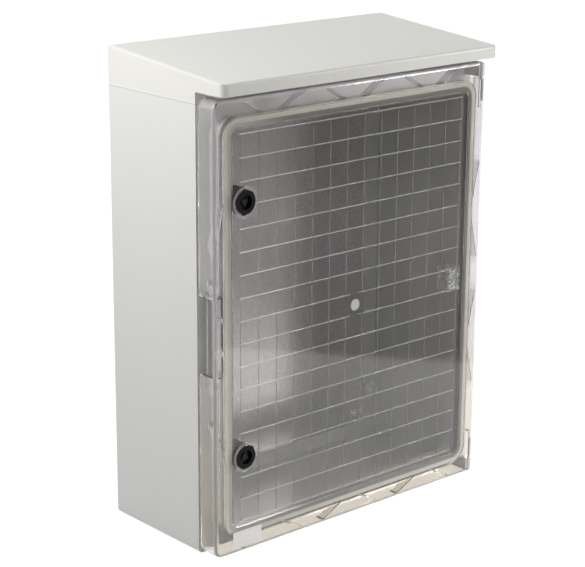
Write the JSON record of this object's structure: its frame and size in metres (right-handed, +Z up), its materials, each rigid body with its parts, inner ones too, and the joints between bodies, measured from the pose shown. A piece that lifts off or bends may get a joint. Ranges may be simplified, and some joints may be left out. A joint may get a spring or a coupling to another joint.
{
  "type": "wall-mounting ABS enclosure",
  "caption": "Wall-mounting ABS enclosure with a clear hinged door, sloping rain hood, quarter-turn locks and an inner galvanised mounting plate.",
  "frame": {"origin": "on the floor below the middle of the closed enclosure's box", "axes": "+X to the right as seen from the front, +Y towards the back (the wall), +Z up"},
  "size_m": [0.4, 0.192, 0.5349],
  "materials": {
    "abs_body": "glossy light grey ABS",
    "abs_hood": "satin warm light grey ABS",
    "clear_pc": "clear polycarbonate",
    "seal_foam": "pale foamed seal",
    "galvanised": "galvanised with fine spangle",
    "steel": "zinc plated",
    "brass": "turned",
    "rubber": "matt",
    "lock_black": "black polyamide",
    "core_black": "black polyamide"
  },
  "bodies": {
    "cabinet": {"body_shell": "abs_body", "rain_hood": "abs_hood", "hood_screws": "steel", "hood_washers": "rubber", "hinge_pin_upper": "steel", "hinge_pin_lower": "steel", "plate_inserts": "brass", "mounting_plate": "galvanised", "plate_washers": "steel", "plate_screws": "steel"},
    "door_leaf": {"door": "clear_pc", "door_seal": "seal_foam", "lock_seal_upper": "rubber", "lock_body_upper": "lock_black", "lock_nut_upper": "lock_black", "lock_seal_lower": "rubber", "lock_body_lower": "lock_black", "lock_nut_lower": "lock_black"},
    "upper_lock": {"lock_core_upper": "core_black", "lock_cam_upper": "galvanised", "cam_screw_upper": "steel"},
    "lower_lock": {"lock_core_lower": "core_black", "lock_cam_lower": "galvanised", "cam_screw_lower": "steel"}
  },
  "joints": [
    {"name": "door_hinge", "type": "hinge", "parent": "cabinet", "child": "door_leaf", "pos_m": [0.1947, -0.076, 0.2486], "axis": [0, 0, 1], "range_deg": [0, 180]},
    {"name": "upper_lock_turn", "type": "hinge", "parent": "door_leaf", "child": "upper_lock", "pos_m": [-0.1585, -0.06, 0.39], "axis": [0, 1, 0], "range_deg": [0, 90]},
    {"name": "lower_lock_turn", "type": "hinge", "parent": "door_leaf", "child": "lower_lock", "pos_m": [-0.1585, -0.06, 0.11], "axis": [0, -1, 0], "range_deg": [0, 90]}
  ]
}
